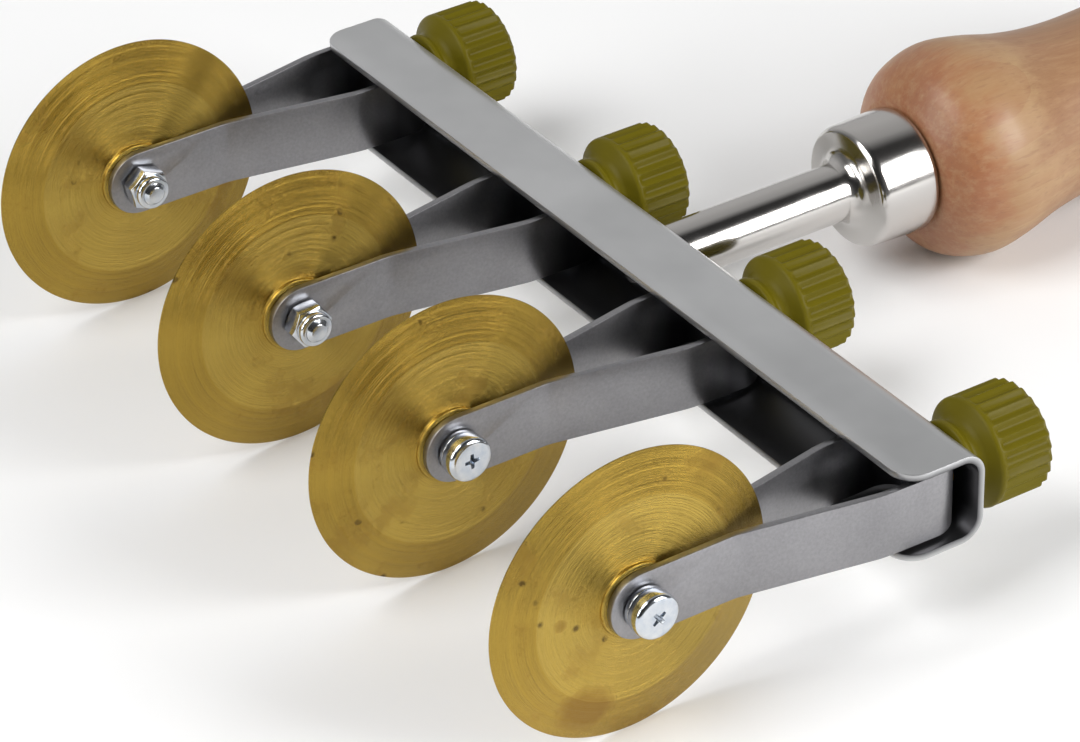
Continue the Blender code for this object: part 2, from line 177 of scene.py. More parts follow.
bench_shape = bmesh.new()
bmesh.ops.create_grid(bench_shape, x_segments=1, y_segments=1, size=3)
bench_mesh = bpy.data.meshes.new("bench")
bench_shape.to_mesh(bench_mesh)
bench_shape.free()
bench = bpy.data.objects.new("bench", bench_mesh)
bpy.context.scene.collection.objects.link(bench)
paint = bpy.data.materials.new("bench_paint")
paint.use_nodes = True
painted = paint.node_tree.nodes["Principled BSDF"]
painted.inputs["Base Color"].default_value = (0.95, 0.95, 0.95, 1)
painted.inputs["Roughness"].default_value = 0.9
bench.data.materials.append(paint)


# The rail: one sheet of stainless steel folded into a channel that opens towards the wheels.
# Its front corners are rounded, two slots for the clamp bolts run along its back wall, and its
# top is finely ground along its length.

# Everything is modelled square to the rail, with the axles on the X axis, and then tipped with
# the tool, which lies on its wheels and the bulge of its handle.
WHEEL_RADIUS = 0.0300
BULGE_RADIUS = 0.0230
BULGE_REACH = 0.1445


def middle_of(node):
    low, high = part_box(node)
    return (low + high) / 2


tilt = math.asin((WHEEL_RADIUS - BULGE_RADIUS) / BULGE_REACH)
axle_line = middle_of("wheel_1")
tool_place = Matrix.Translation((0, axle_line.y, axle_line.z)) @ Matrix.Rotation(-tilt, 4, "X")


class Finish(Shading):
    """A surface finish, laid out in the tool's own directions."""

    def __init__(self, name, **constants):
        self.material = bpy.data.materials.new(name)
        self.material.use_nodes = True
        super().__init__(self.material.node_tree)
        self.set(**constants)

    def set(self, **values):
        for name, value in values.items():
            connect(self.tree.nodes["Principled BSDF"].inputs[name.replace("_", " ")], value)

    def point(self, place=(0, 0, 0), stretch=(1, 1, 1)):
        """Where a point is on the tool, in metres from a place on it, stretched along its axes."""
        square = self.node(
            "Mapping",
            {"vector_type": "TEXTURE"},
            {
                "Vector": self.node("TexCoord", output=3),
                "Location": tool_place @ Vector(place),
                "Rotation": tool_place.to_euler(),
            },
        )
        return self.node("Mapping", {}, {"Vector": square, "Scale": stretch})

    def noise(self, point, scale, detail, roughness=0.5):
        values = {"Vector": point, "Scale": scale, "Detail": detail, "Roughness": roughness}
        return self.node("TexNoise", {}, values)

    def blend(self, first, second, share):
        return self.node("Mix", {"data_type": "RGBA"}, {0: share, 6: first, 7: second}, 2)

    def relief(self, height, strength, distance):
        values = {"Height": height, "Strength": strength, "Distance": distance}
        self.set(Normal=self.node("Bump", {}, values))


class FoldedStrip:
    """Sheet metal along its middle surface: one edge that is drawn out straight or bent round."""

    def __init__(self, start, across, heading):
        self.shape = bmesh.new()
        self.across = Vector(across)
        self.heading = Vector(heading)
        sides = [self.shape.verts.new(Vector(start) + self.across * side) for side in (-1, 1)]
        self.edge = self.shape.edges.new(sides)
        self.across.normalize()

    def straight(self, length):
        drawn = bmesh.ops.extrude_edge_only(self.shape, edges=[self.edge])["geom"]
        corners = [item for item in drawn if isinstance(item, bmesh.types.BMVert)]
        bmesh.ops.translate(self.shape, vec=self.heading * length, verts=corners)
        self.edge = self.shape.edges.get(corners)

    def bend(self, radius, angle, steps):
        """Turns about the across direction, by the right-hand rule."""
        middle = (self.edge.verts[0].co + self.edge.verts[1].co) / 2
        inward = self.across.cross(self.heading) * math.copysign(radius, angle)
        spun = bmesh.ops.spin(
            self.shape,
            geom=[*self.edge.verts, self.edge],
            cent=middle + inward,
            axis=self.across,
            angle=angle,
            steps=steps,
        )
        last = spun["geom_last"]
        self.edge = next(item for item in last if isinstance(item, bmesh.types.BMEdge))
        self.heading = Matrix.Rotation(angle, 3, self.across) @ self.heading

    def finish(self, name, thickness, cutters, edge_radius):
        """The strip with its thickness, cut to its outline and holes, with its edges broken."""
        bmesh.ops.recalc_face_normals(self.shape, faces=self.shape.faces)
        strip = loose(name, self.shape)
        wall = strip.modifiers.new("wall", "SOLIDIFY")
        wall.thickness = thickness
        wall.offset = 0
        wall.use_even_offset = True
        for cutter, operation in cutters:
            cut = strip.modifiers.new("cut", "BOOLEAN")
            cut.object = cutter
            cut.operation = operation
        soften(strip, edge_radius)
        return applied(strip)


def loose(name, shape):
    """A bmesh as an object in the scene, before it has its place."""
    mesh = bpy.data.meshes.new(name)
    shape.to_mesh(mesh)
    shape.free()
    made = bpy.data.objects.new(name, mesh)
    bpy.context.scene.collection.objects.link(made)
    return made


def soften(made, width, angle=40):
    """Breaks the sharp edges of an object."""
    edges = made.modifiers.new("broken_edges", "BEVEL")
    edges.width = width
    edges.segments = 2
    edges.limit_method = "ANGLE"
    edges.angle_limit = math.radians(angle)
    edges.use_clamp_overlap = True


def applied(made):
    """The object's mesh with its modifiers applied. The object and its cutters go."""
    cutters = [step.object for step in made.modifiers if step.type == "BOOLEAN"]
    bpy.context.view_layer.update()
    graph = bpy.context.evaluated_depsgraph_get()
    mesh = bpy.data.meshes.new_from_object(made.evaluated_get(graph))
    for used in [made, *cutters]:
        bpy.data.objects.remove(used)
    return mesh


def flat_cutter(outline, thickness, axis):
    """A prism through the tool from a closed outline, seen along the X, Y or Z axis."""
    shape = bmesh.new()
    corners = []
    for first, second in outline:
        spot = {
            "X": (-thickness / 2, first, second),
            "Y": (first, -thickness / 2, second),
            "Z": (first, second, -thickness / 2),
        }[axis]
        corners.append(shape.verts.new(spot))
    face = shape.faces.new(corners)
    drawn = bmesh.ops.extrude_face_region(shape, geom=[face])["geom"]
    lifted = [item for item in drawn if isinstance(item, bmesh.types.BMVert)]
    along = {"X": (thickness, 0, 0), "Y": (0, thickness, 0), "Z": (0, 0, thickness)}[axis]
    bmesh.ops.translate(shape, vec=along, verts=lifted)
    bmesh.ops.recalc_face_normals(shape, faces=shape.faces)
    return loose("cutter", shape)


def round_outline(corners, radius, steps):
    """A closed outline of arcs round the corners, each an (x, y, start angle, sweep), in order."""
    outline = []
    for x, y, start, sweep in corners:
        for step in range(steps + 1):
            angle = math.radians(start + sweep * step / steps)
            outline.append((x + radius * math.cos(angle), y + radius * math.sin(angle)))
    return outline


def fit(name, mesh, finish, body, stands_for, place=(0, 0, 0), turn=None):
    """Puts a finished mesh in its place on the tool, on a body, in place of its plain solid."""
    mesh = mesh.copy()
    mesh.transform(tool_place @ Matrix.Translation(place) @ (turn or Matrix.Identity(4)))
    mesh.shade_smooth()
    mesh.set_sharp_from_angle(angle=math.radians(32))
    mesh.materials.clear()
    mesh.materials.append(finish.material)
    made = bpy.data.objects.new(name, mesh)
    bpy.context.scene.collection.objects.link(made)
    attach(made, body)
    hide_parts(stands_for)


rail_steel = Finish("ground_stainless", Metallic=1.0)
ground_lines = rail_steel.noise(rail_steel.point(stretch=(0.06, 1, 1)), 9000, 3, 0.6)
cloudy = rail_steel.noise(rail_steel.point(), 45, 3)
ground = rail_steel.ramp(cloudy, (0.3, (0.57, 0.575, 0.58)), (0.75, (0.68, 0.685, 0.69)))

SHEET = 0.0015
RAIL_HALF_LENGTH = 0.1024
RAIL_HALF_HEIGHT = 0.0097
RAIL_FRONT = 0.0535
RAIL_BACK = 0.0717
FOLD_RADIUS = 0.0050
CORNER_RADIUS = 0.0055
SLOT_HALF_HEIGHT = 0.0028
SLOT_REACH = (0.0160, 0.0950)

# The inside of the channel is given a much darker tone than the outside: painted shade, a choice
# for the look, since hardly any light reaches it and nothing is known about its finish.
on_rail = rail_steel.point()
off_middle = abs(rail_steel.coordinate(on_rail, "Z"))
over_bend = (off_middle - (RAIL_HALF_HEIGHT - FOLD_RADIUS)).at_least(0.0)
behind_bend = (rail_steel.coordinate(on_rail, "Y") - (RAIL_BACK - FOLD_RADIUS)).at_least(0.0)
from_bend = rail_steel.length(rail_steel.node("CombineXYZ", {}, {"X": over_bend, "Y": behind_bend}))
# Black here is the painted shade inside the channel, white is the plain ground steel outside.
outside = rail_steel.mask(from_bend * 100, 0.36, 0.50)
rail_steel.set(
    Roughness=0.27 + ground_lines * 0.10 + cloudy * 0.08,
    Base_Color=rail_steel.blend((0.13, 0.13, 0.135), ground, outside),
)
rail_steel.relief(ground_lines, 0.25, 0.00002)

# The sheet starts a little too large, and its outline then trims the flanges and the ends.
TRIM = 0.001
start = (0, RAIL_FRONT - TRIM, RAIL_HALF_HEIGHT - SHEET / 2)
flange = RAIL_BACK - FOLD_RADIUS - RAIL_FRONT + TRIM
folded = FoldedStrip(start, (RAIL_HALF_LENGTH + TRIM, 0, 0), (0, 1, 0))
folded.straight(flange)
folded.bend(FOLD_RADIUS - SHEET / 2, -math.pi / 2, 12)
folded.straight(2 * (RAIL_HALF_HEIGHT - FOLD_RADIUS))
folded.bend(FOLD_RADIUS - SHEET / 2, -math.pi / 2, 12)
folded.straight(flange)

corner_x = RAIL_HALF_LENGTH - CORNER_RADIUS
corner_y = RAIL_FRONT + CORNER_RADIUS
front_corners = [(-corner_x, corner_y, 180, 90), (corner_x, corner_y, 270, 90)]
plan = round_outline(front_corners, CORNER_RADIUS, 12)
plan = [(-RAIL_HALF_LENGTH, 0.09), *plan, (RAIL_HALF_LENGTH, 0.09)]
rail_cuts = [(flat_cutter(plan, 0.05, "Z"), "INTERSECT")]
for side in (-1, 1):
    near, far = (side * reach for reach in SLOT_REACH)
    low_x, high_x = min(near, far), max(near, far)
    ends = [(low_x + SLOT_HALF_HEIGHT, 0, 90, 180), (high_x - SLOT_HALF_HEIGHT, 0, 270, 180)]
    slot = flat_cutter(round_outline(ends, SLOT_HALF_HEIGHT, 14), 0.005, "Y")
    slot.location.y = RAIL_BACK
    rail_cuts.append((slot, "DIFFERENCE"))
rail_mesh = folded.finish("rail", SHEET, rail_cuts, 0.0002)
fit("folded_rail", rail_mesh, rail_steel, "frame", "rail")


# The stem: one turned steel bar, nickel plated and polished. Its stud goes through the rail's
# back wall into a nut, and its other end swells through a fillet into the ferrule that grips
# the handle. The nut sits inside the channel.
def turned(profile, steps, axis="Y"):
    """A solid of (distance along the axis, radius, length of the rounding) turned in a lathe."""
    shape = bmesh.new()
    along, out = {"X": ((1, 0, 0), (0, 0, 1)), "Y": ((0, 1, 0), (0, 0, 1))}[axis]
    along, out = Vector(along), Vector(out)
    line = [shape.verts.new(along * reach + out * radius) for reach, radius, _ in profile]
    edges = [shape.edges.new(pair) for pair in zip(line, line[1:])]
    if profile[0][1] > 0:
        edges.append(shape.edges.new((line[-1], line[0])))
    bmesh.ops.spin(
        shape,
        geom=[*line, *edges],
        cent=(0, 0, 0),
        axis=along,
        angle=2 * math.pi,
        steps=steps,
        use_merge=True,
    )
    bmesh.ops.remove_doubles(shape, verts=shape.verts, dist=1e-6)
    bmesh.ops.recalc_face_normals(shape, faces=shape.faces)
    for reach, radius, rounding in profile:
        if rounding:
            bmesh.ops.bevel(
                shape,
                geom=[edge for edge in shape.edges if on_ring(edge, along, reach, radius)],
                offset=rounding,
                offset_type="OFFSET",
                affect="EDGES",
                segments=max(3, min(10, round(rounding / 0.0002))),
                profile=0.5,
                material=-1,
                clamp_overlap=True,
            )
    mesh = bpy.data.meshes.new("turned")
    shape.to_mesh(mesh)
    shape.free()
    return mesh


def on_ring(edge, along, reach, radius):
    for corner in edge.verts:
        height = corner.co.dot(along)
        off_ring = abs((corner.co - along * height).length - radius)
        if abs(height - reach) >= 2e-6 or off_ring >= 2e-6:
            return False
    return True


STEM_RADIUS = 0.0061
STUD_RADIUS = 0.0030
STUD_FRONT = 0.0625
BEHIND_RAIL = 0.0720
FERRULE_BACK = 0.1308
CUP_FLOOR = 0.1182
CUP_RADIUS = 0.0101
TANG_RADIUS = 0.0040
TANG_END = 0.1900
stem_profile = [
    (STUD_FRONT, 0, 0),
    (STUD_FRONT, STUD_RADIUS, 0.0004),
    (BEHIND_RAIL, STUD_RADIUS, 0),
    (BEHIND_RAIL, STEM_RADIUS, 0.0003),
    (0.1160, STEM_RADIUS, 0.0030),
    (0.1165, 0.0121, 0.0003),
    (0.1172, 0.0127, 0.0003),
    (0.1180, 0.0130, 0.0004),
    (0.1300, 0.0134, 0.0006),
    (FERRULE_BACK, 0.0126, 0.0003),
    (FERRULE_BACK, CUP_RADIUS, 0),
    (CUP_FLOOR, CUP_RADIUS, 0),
    (CUP_FLOOR, TANG_RADIUS, 0),
    (TANG_END, TANG_RADIUS, 0.0004),
    (TANG_END, 0, 0),
]
nickel = Finish("polished_nickel", Base_Color=(0.57, 0.55, 0.53), Metallic=1.0)
rubbed = nickel.noise(nickel.point(), 160, 4, 0.6)
nickel.set(Roughness=0.10 + rubbed * 0.12)
polished_along = nickel.noise(nickel.point(stretch=(1, 0.25, 1)), 700, 2)
nickel.relief(polished_along, 0.03, 0.00005)
fit("turned_stem", turned(stem_profile, 96), nickel, "frame", "stem")

zinc = Finish("bright_zinc", Metallic=1.0)
film = zinc.noise(zinc.point(), 500, 3)
zinc.set(
    Base_Color=zinc.ramp(film, (0.3, (0.52, 0.57, 0.64)), (0.7, (0.70, 0.72, 0.74))),
    Roughness=0.10 + film * 0.14,
)


def machined(mesh, *steps, edge=0.0, angle=40):
    """A mesh with others joined to it or cut from it, cleaned, with its sharp edges broken."""
    stock = bpy.data.objects.new("stock", mesh)
    bpy.context.scene.collection.objects.link(stock)
    for operation, other in steps:
        tool = bpy.data.objects.new("tool", other)
        bpy.context.scene.collection.objects.link(tool)
        step = stock.modifiers.new("step", "BOOLEAN")
        step.operation = operation
        step.object = tool
    shape = bmesh.new()
    shape.from_mesh(applied(stock))
    bmesh.ops.remove_doubles(shape, verts=shape.verts, dist=4e-6)
    bmesh.ops.dissolve_degenerate(shape, edges=shape.edges, dist=2e-6)
    stock = loose("stock", shape)
    if edge:
        soften(stock, edge, angle=angle)
    return applied(stock)


def hexagon(flats, low, high):
    """A chamfered hexagon with two flats up, from low to high along the Y axis."""
    corners = flats / math.sqrt(3)
    middle = Matrix.Translation((0, (low + high) / 2, 0))
    flats_up = Matrix.Rotation(-math.pi / 2, 4, "X") @ Matrix.Rotation(math.pi / 6, 4, "Z")
    shape = bmesh.new()
    bmesh.ops.create_cone(
        shape,
        cap_ends=True,
        segments=6,
        radius1=corners,
        radius2=corners,
        depth=high - low,
        matrix=middle @ flats_up,
    )
    prism = bpy.data.meshes.new("hexagon")
    shape.to_mesh(prism)
    shape.free()
    tall = corners + 0.001
    face = flats * 0.475
    slope = (tall - face) * 0.5
    barrel = [(low, 0, 0), (low, face, 0), (low + slope, tall, 0)]
    barrel += [(high - slope, tall, 0), (high, face, 0), (high, 0, 0)]
    return machined(prism, ("INTERSECT", turned(barrel, 64)), edge=0.00008, angle=25)


def rod(radius, low, high):
    return turned([(low, 0, 0), (low, radius, 0), (high, radius, 0), (high, 0, 0)], 48)


stem_nut = machined(hexagon(0.0100, 0.0649, 0.0699), ("DIFFERENCE", rod(0.0033, 0.0640, 0.0710)))
fit("cut_stem_nut", stem_nut, zinc, "frame", "stem_nut")


# The handle: one piece of hardwood turned between centres, drilled for the stem's tang, and
# waxed. The grain runs along it, with the yearly rings cut through where the wood swells.
def flowing(points, steps):
    """A smooth line through the points, with more points between each two."""
    points = [Vector(point) for point in points]
    shifted = [points[0], *points], points, points[1:], [*points[2:], points[-1]]
    line = []
    for before, here, there, after in zip(*shifted):
        for step in range(steps):
            part = step / steps
            pull = there - before
            curve = 2 * before - 5 * here + 4 * there - after
            twist = 3 * (here - there) + after - before
            line.append((2 * here + pull * part + curve * part**2 + twist * part**3) / 2)
    return [*line, points[-1]]


WOOD_FRONT = 0.1311
WOOD_END = 0.2472
FIT = 0.0003
swelling = flowing(
    [
        (WOOD_FRONT, 0.0143),
        (0.1340, 0.0188),
        (0.1380, 0.0215),
        (BULGE_REACH, BULGE_RADIUS),
        (0.1520, 0.0220),
        (0.1600, 0.0200),
        (0.1680, 0.0187),
        (0.1775, 0.0182),
        (0.1900, 0.0186),
        (0.2120, 0.0194),
        (0.2320, 0.0180),
        (0.2405, 0.0150),
        (0.2450, 0.0105),
        (WOOD_END, 0.0050),
    ],
    5,
)
bore = [(TANG_END, 0), (TANG_END, TANG_RADIUS + FIT), (CUP_FLOOR + 2 * FIT, TANG_RADIUS + FIT)]
tenon = [(CUP_FLOOR + 2 * FIT, CUP_RADIUS - FIT), (WOOD_FRONT, CUP_RADIUS - FIT)]
wood_outline = [*bore, *tenon, *swelling, (WOOD_END, 0)]
wood_profile = [(reach, radius, 0) for reach, radius in wood_outline]
wood = Finish("waxed_hardwood", Coat_Weight=0.05)
past_ferrule = wood.coordinate(wood.point((0, WOOD_FRONT, 0)), "Y")
mottled = wood.noise(wood.point(stretch=(1, 0.6, 1)), 75, 4, 0.62)
tone = wood.ramp(
    past_ferrule * 8 + (mottled - 0.5) * 0.40,
    (0.00, (0.31, 0.120, 0.050)),
    (0.05, (0.36, 0.165, 0.070)),
    (0.10, (0.39, 0.235, 0.108)),
    (0.16, (0.42, 0.275, 0.135)),
    (0.23, (0.31, 0.175, 0.086)),
    (0.50, (0.30, 0.170, 0.083)),
)

# The yearly rings curve round a heart that lies beside and above the handle.
heart = (0.013, 0, 0.021)
bent_grain = wood.noise(wood.point(stretch=(1, 0.16, 1)), 60, 2)
from_heart = wood.length(wood.point(heart, stretch=(1, 0.10, 1)))
layers = wood.node("CombineXYZ", {}, {"X": from_heart + bent_grain * 0.006})
rings = wood.node(
    "TexWave",
    {"wave_profile": "SAW", "bands_direction": "X"},
    {"Vector": layers, "Scale": 95.0, "Distortion": 1.2, "Detail": 2.0},
)
fibres = wood.noise(wood.point(stretch=(1, 0.05, 1)), 2600, 3, 0.6)
ticks = wood.noise(wood.point(stretch=(1, 0.09, 1)), 1700, 1)
pores = wood.mask(ticks, 0.60, 0.70)
streaks = wood.mask(wood.noise(wood.point(stretch=(1, 0.07, 1)), 700, 4, 0.7), 0.45, 0.75)
ringed = wood.blend(tone, (0.31, 0.140, 0.070), rings * 0.35)
streaked = wood.blend(ringed, (0.42, 0.260, 0.135), streaks * 0.7)
fibrous = wood.blend(streaked, (0.28, 0.120, 0.060), fibres * 0.35)
wood.set(
    Base_Color=wood.blend(fibrous, (0.20, 0.085, 0.05), pores * 0.22),
    Roughness=0.36 + fibres * 0.16,
)
wood.relief(fibres - pores * 0.6, 0.12, 0.00006)
fit("turned_handle", turned(wood_profile, 96), wood, "frame", "handle")


# The forks: four strips of stainless steel, each bent to a U. The arms stand close at the wheel
# and splay towards the rail, their ends are round, and both arms are drilled for the axle.
STRIP = 0.0015
STRIP_HALF_WIDTH = 0.0070
FORK_BACK = 0.0690
AXLE_HOLE_RADIUS = 0.0028
fork_steel = Finish("satin_stainless", Metallic=1.0)
peened = fork_steel.noise(fork_steel.point(), 1500, 3, 0.6)
handled = fork_steel.noise(fork_steel.point(), 70, 3)
satin = peened * 0.5 + handled * 0.5
bright = fork_steel.ramp(satin, (0.35, (0.26, 0.257, 0.267)), (0.65, (0.34, 0.335, 0.347)))

# The rear part of each fork, inside the channel, takes the channel's dark painted shade. The outer
# arm of the right-hand fork stands at the channel's open end, and stays bright.
OPEN_END = 0.0985
channel_painted_shade = fork_steel.mask(fork_steel.coordinate(fork_steel.point(), "Y") * 10, 0.53, 0.59)
at_open_end = fork_steel.coordinate(fork_steel.point(), "X") > OPEN_END
# The dark colour blended in here is painted shade inside the channel.
fork_steel.set(
    Roughness=0.26 + peened * 0.16 + handled * 0.06,
    Base_Color=fork_steel.blend(bright, (0.10, 0.10, 0.105), channel_painted_shade * (1 - at_open_end)),
)
fork_steel.relief(peened, 0.22, 0.00003)


def fork_mesh():
    """One strip, from past the tip of one arm round the base to past the tip of the other."""
    tip_x, splayed_x, base_x = (reach - STRIP / 2 for reach in (0.0048, 0.0104, 0.0108))
    back = FORK_BACK - STRIP / 2
    past_tip = 0.008
    first_bend, second_bend = 0.0205, 0.0500
    splay = math.atan2(splayed_x - tip_x, second_bend - first_bend)
    last = math.atan2(base_x - splayed_x, back - second_bend)
    bends = [(0.012, splay), (0.020, last - splay), (0.0070 - STRIP / 2, -math.pi / 2 - last)]
    setback = [radius * math.tan(abs(angle) / 2) for radius, angle in bends]
    strip = FoldedStrip((tip_x, -past_tip, 0), (0, 0, STRIP_HALF_WIDTH + TRIM), (0, 1, 0))
    lengths = [
        first_bend + past_tip - setback[0],
        (second_bend - first_bend) / math.cos(splay) - setback[0] - setback[1],
        (back - second_bend) / math.cos(last) - setback[1] - setback[2],
    ]
    for length, (radius, angle) in zip(lengths, bends):
        strip.straight(length)
        strip.bend(radius, -angle, 4 if abs(angle) < 1 else 12)
    strip.straight(2 * (base_x - setback[2]))
    for length, (radius, angle) in zip(lengths[::-1], bends[::-1]):
        strip.bend(radius, -angle, 4 if abs(angle) < 1 else 12)
        strip.straight(length)
    side_view = [(0.09, STRIP_HALF_WIDTH)]
    side_view += round_outline([(0, 0, 90, 180)], STRIP_HALF_WIDTH, 32)
    side_view += [(0.09, -STRIP_HALF_WIDTH)]
    hole = round_outline([(0, 0, 0, 345)], AXLE_HOLE_RADIUS, 23)
    bolt_hole = flat_cutter(hole, 0.02, "Y")
    bolt_hole.location.y = FORK_BACK
    cuts = [
        (flat_cutter(side_view, 0.05, "X"), "INTERSECT"),
        (flat_cutter(hole, 0.05, "X"), "DIFFERENCE"),
        (bolt_hole, "DIFFERENCE"),
    ]
    return strip.finish("fork", STRIP, cuts, 0.00018)


bent_fork = fork_mesh()
for number in range(1, 5):
    node, body = f"fork_{number}", f"fork_assembly_{number}"
    place = (middle_of(node).x, 0, 0)
    fit(f"bent_{node}", bent_fork, fork_steel, body, node, place)


# The wheels: four discs turned from brass bar, with a flat centre, a raised hub that runs on the
# axle, and a long bevel down to the edge. The tool left fine rings all over them, and use has
# left them dull, with brown stains and a few dark pits.
HUB_REACH = 0.0030
HUB_RADIUS = 0.0078
HUB_BORE = 0.00265
FLAT_RADIUS = 0.0213
HALF_DISC = 0.0022
HALF_EDGE = 0.00012
half_wheel = [
    (HALF_EDGE, WHEEL_RADIUS, 0),
    (HALF_DISC, FLAT_RADIUS, 0.0003),
    (HALF_DISC, HUB_RADIUS, 0.0002),
    (HUB_REACH, HUB_RADIUS, 0.0004),
    (HUB_REACH, HUB_BORE, 0.0002),
]
wheel_profile = [(-reach, radius, rounding) for reach, radius, rounding in half_wheel[::-1]]
wheel_profile += half_wheel
brass = Finish("turned_brass", Metallic=1.0)
from_axle = brass.length(brass.point(stretch=(0, 1, 1)))
tool_marks = brass.node(
    "TexNoise", {"noise_dimensions": "1D"}, {"W": from_axle * 40000, "Scale": 1.0, "Detail": 0.0}
)
speckle = brass.noise(brass.point(), 2200, 2, 0.6)
patina = brass.noise(brass.point(), 75, 5, 0.62)
from_pit = brass.node("TexVoronoi", {}, {"Vector": brass.point(), "Scale": 190.0})


def mark(place, radius):
    """A stain of about this radius round a place, with a ragged edge."""
    away = brass.length(brass.point(place))
    return brass.mask(away * (0.4 / radius) + (patina - 0.5) * 1.6, 0.60, 0.15)


# The right-hand wheel has a brown stain near its edge, a smudge and three dark spots.
RIGHT_FACE = 0.0924
stains = brass.mask(patina, 0.52, 0.78) * 0.55
stains += mark((RIGHT_FACE, -0.0108, -0.0212), 0.0046) * 0.6
stains += mark((RIGHT_FACE, -0.0161, 0.0007), 0.0011) * 0.5
pits = brass.mask(from_pit, 0.17, 0.10) * brass.mask(patina, 0.55, 0.60)
for y, z in ((-0.0213, 0.0078), (-0.0205, 0.0028), (-0.0129, -0.0011)):
    pits += mark((RIGHT_FACE, y, z), 0.0006)
flat_tone = brass.blend((0.45, 0.308, 0.056), (0.57, 0.405, 0.096), speckle)
# The darker tone of the bevel is painted shade; the flat and the bevel are the same brass.
bevel_painted_shade = brass.blend((0.36, 0.235, 0.038), (0.47, 0.316, 0.062), speckle)
flat_and_shaded_bevel = brass.blend(flat_tone, bevel_painted_shade, from_axle > FLAT_RADIUS + 0.0001)
stained = brass.blend(flat_and_shaded_bevel, (0.25, 0.125, 0.025), stains)
brass.set(
    Base_Color=brass.blend(stained, (0.07, 0.04, 0.015), pits * 0.8),
    Roughness=0.22 + tool_marks * 0.06 + stains * 0.15,
)
brass.relief(tool_marks + speckle * 0.10, 1.0, 0.000040)
wheel_mesh = turned(wheel_profile, 192, "X")
for number in range(1, 5):
    node, body = f"wheel_{number}", f"wheel_assembly_{number}"
    place = (middle_of(node).x, 0, 0)
    fit(f"turned_{node}", wheel_mesh, brass, body, node, place)


# The axles: M5 pan-head screws with a cross recess, zinc plated. Each one goes through a split
# spring washer, both arms and the wheel, and ends in a lock nut with a round collar. The heads
# of the two left-hand ones face left.
ARM_FACE = 0.0051
WASHER_TOP = 0.0062
HEAD_LOW = 0.0065
HEAD_TOP = 0.0098
HEAD_RADIUS = 0.0047
SCREW_END = 0.0112
PITCH = 0.0008
THREAD_CORE = 0.0020
THREAD_CREST = 0.00248
NUT_HEX_END = 0.0088
NUT_END = 0.0103
COLLAR_RADIUS = 0.0036


def pan_head_screw():
    thread = []
    for turns in range(7):
        root = PITCH * (turns + 0.5) - SCREW_END
        thread += [(root, THREAD_CORE, 0), (root + PITCH / 2, THREAD_CREST, 0)]
    profile = [(-SCREW_END, 0, 0), (-SCREW_END, 0.0017, 0.0002), *thread]
    profile += [(-0.0050, THREAD_CREST, 0), (HEAD_LOW, THREAD_CREST, 0)]
    profile += [(HEAD_LOW, HEAD_RADIUS, 0.0003), (HEAD_TOP, HEAD_RADIUS, 0.0011), (HEAD_TOP, 0, 0)]
    arm = [(0.0024, -0.0005), (0.0024, 0.0005), (0.0007, 0.0007)]
    cross = []
    for quarter in range(4):
        turn = Matrix.Rotation(quarter * math.pi / 2, 2)
        cross += [turn @ Vector(corner) for corner in arm]
    recess = flat_cutter(cross, 0.0030, "X")
    recess_mesh = recess.data
    bpy.data.objects.remove(recess)
    for corner in recess_mesh.vertices:
        if corner.co.x < 0:
            corner.co.yz *= 0.35
        corner.co.x += HEAD_TOP
    return machined(turned(profile, 64, "X"), ("DIFFERENCE", recess_mesh))


def split_washer():
    """A square-section ring with a gap, whose two ends stand off each other."""
    square = ((-0.0005, 0.0028), (-0.0005, 0.0044), (0.0005, 0.0044), (0.0005, 0.0028))
    steps, stand_off = 56, 0.0002
    shape = bmesh.new()
    section = shape.faces.new([shape.verts.new((x, 0, z)) for x, z in square])
    bmesh.ops.spin(
        shape,
        geom=[*shape.verts, *shape.edges, section],
        cent=(0, 0, 0),
        axis=(1, 0, 0),
        dvec=(stand_off / steps, 0, 0),
        angle=math.radians(344),
        steps=steps,
    )
    bmesh.ops.recalc_face_normals(shape, faces=shape.faces)
    under_head = Matrix.Translation(((ARM_FACE + WASHER_TOP - stand_off) / 2, 0, 0))
    gap_turned = Matrix.Rotation(math.radians(160), 4, "X")
    bmesh.ops.transform(shape, matrix=gap_turned @ under_head, verts=shape.verts)
    washer = loose("washer", shape)
    soften(washer, 0.00008)
    return applied(washer)


def lock_nut():
    """Made along Y from its seat at the arm, then turned to lie along the axle."""
    sunk = NUT_HEX_END - 0.0006
    collar = [(sunk, 0, 0), (sunk, COLLAR_RADIUS, 0)]
    collar += [(NUT_END, COLLAR_RADIUS, 0.0006), (NUT_END, 0, 0)]
    nut = machined(
        hexagon(0.0080, ARM_FACE, NUT_HEX_END),
        ("UNION", turned(collar, 64)),
        ("DIFFERENCE", rod(0.00255, 0.004, 0.012)),
    )
    nut.transform(Matrix.Rotation(math.pi / 2, 4, "Z"))
    return nut


screw_mesh, washer_mesh, nut_mesh = pan_head_screw(), split_washer(), lock_nut()
axle_pieces = (
    ("pan_head_screw", screw_mesh, "axle_screw"),
    ("split_washer", washer_mesh, "spring_washer"),
    ("collar_nut", nut_mesh, "lock_nut"),
)
for number in range(1, 5):
    place = (middle_of(f"fork_{number}").x, 0, 0)
    head_side = Matrix.Rotation(math.pi if number < 3 else 0, 4, "Z")
    turn = head_side @ Matrix.Rotation(math.radians(37 * number - 19), 4, "X")
    for name, mesh, stands_for in axle_pieces:
        body, node = f"fork_assembly_{number}", f"{stands_for}_{number}"
        fit(f"{name}_{number}", mesh, zinc, body, node, place, turn)


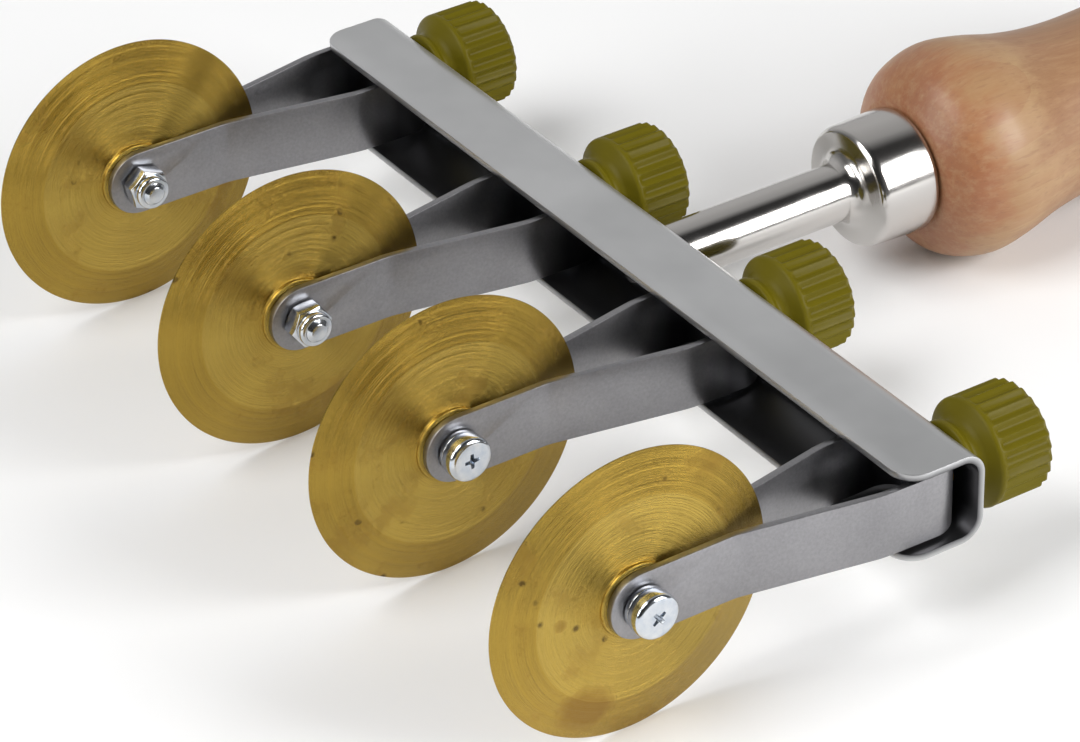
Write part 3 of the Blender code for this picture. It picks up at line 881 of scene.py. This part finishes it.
# The clamps: an M5 hexagon bolt held in each fork's bend, through the rail's slot, into a brass
# insert in an olive-green plastic knob. The knob is moulded, with straight flutes round its rim.
KNOB_RADIUS = 0.01115
FLUTES = 26
FLUTE_DEPTH = 0.0008
FLUTE_RUN_OUT = 0.0010
HEAD_FRONT = 0.0770
KNOB_BACK = 0.0897
knob_profile = [
    (0.0720, 0, 0),
    (0.0720, 0.0080, 0.0004),
    (0.0732, 0.0082, 0.0004),
    (0.0737, 0.0074, 0.0005),
    (0.0754, 0.0077, 0.0010),
    (0.0766, 0.0102, 0.0005),
    (HEAD_FRONT, 0.0109, 0.0003),
    (HEAD_FRONT + 0.0006, KNOB_RADIUS, 0.0003),
    (HEAD_FRONT + 0.0012, KNOB_RADIUS, 0),
    (HEAD_FRONT + 0.0018, KNOB_RADIUS, 0),
    (KNOB_BACK - 0.0016, KNOB_RADIUS, 0),
    (KNOB_BACK - 0.0011, KNOB_RADIUS, 0.0003),
    (KNOB_BACK, 0.0098, 0.0007),
    (KNOB_BACK, 0.0072, 0.0004),
    (KNOB_BACK - 0.0006, 0.0068, 0.0003),
    (KNOB_BACK - 0.0006, 0, 0),
]


def knob_mesh():
    """The knob turned plain and solid, then fluted, with a blind hole for the insert."""
    mesh = turned(knob_profile, FLUTES * 12)
    for vertex in mesh.vertices:
        spot = vertex.co
        radius = math.hypot(spot.x, spot.z)
        from_front = (spot.y - HEAD_FRONT - 0.0008) / FLUTE_RUN_OUT
        from_back = (KNOB_BACK + 0.0001 - spot.y) / FLUTE_RUN_OUT
        into_head = min(from_front, from_back, 1)
        if into_head > 0 and radius > 0.0095:
            wave = 0.5 - 0.5 * math.cos(FLUTES * math.atan2(spot.z, spot.x))
            cut = FLUTE_DEPTH * into_head * wave**0.7
            spot.x *= 1 - cut / radius
            spot.z *= 1 - cut / radius
    return machined(mesh, ("DIFFERENCE", rod(0.0045, 0.0700, 0.0855)))


olive = Finish("olive_plastic", Specular_IOR_Level=0.12)
moulded = olive.noise(olive.point(), 900, 3, 0.6)
faded = olive.noise(olive.point(), 90, 2)
olive.set(
    Base_Color=olive.blend((0.100, 0.080, 0.002), (0.135, 0.110, 0.004), faded),
    Roughness=0.34 + moulded * 0.20,
)
olive.relief(moulded, 0.12, 0.00004)

insert_brass = Finish("machined_brass", Base_Color=(0.62, 0.42, 0.12), Metallic=1.0)
insert_marks = insert_brass.noise(insert_brass.point(stretch=(1, 8, 1)), 600, 2)
insert_brass.set(Roughness=0.28 + insert_marks * 0.15)

shank = turned([(0.0668, 0, 0), (0.0668, 0.0025, 0), (0.0845, 0.0025, 0.0004), (0.0845, 0, 0)], 40)
clamp_bolt = machined(hexagon(0.0080, 0.0638, 0.0672), ("UNION", shank))
fluted_knob = knob_mesh()
for number in range(1, 5):
    place = (middle_of(f"fork_{number}").x, 0, 0)
    bolt, on_fork = f"clamp_bolt_{number}", f"fork_assembly_{number}"
    fit(f"hex_bolt_{number}", clamp_bolt, zinc, on_fork, bolt, place)
    knob, on_bolt = f"knob_{number}", f"knob_assembly_{number}"
    fit(f"fluted_{knob}", fluted_knob, olive, on_bolt, knob, place)
    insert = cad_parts[f"knob_insert_{number}"]
    insert.data.materials.clear()
    insert.data.materials.append(insert_brass.material)
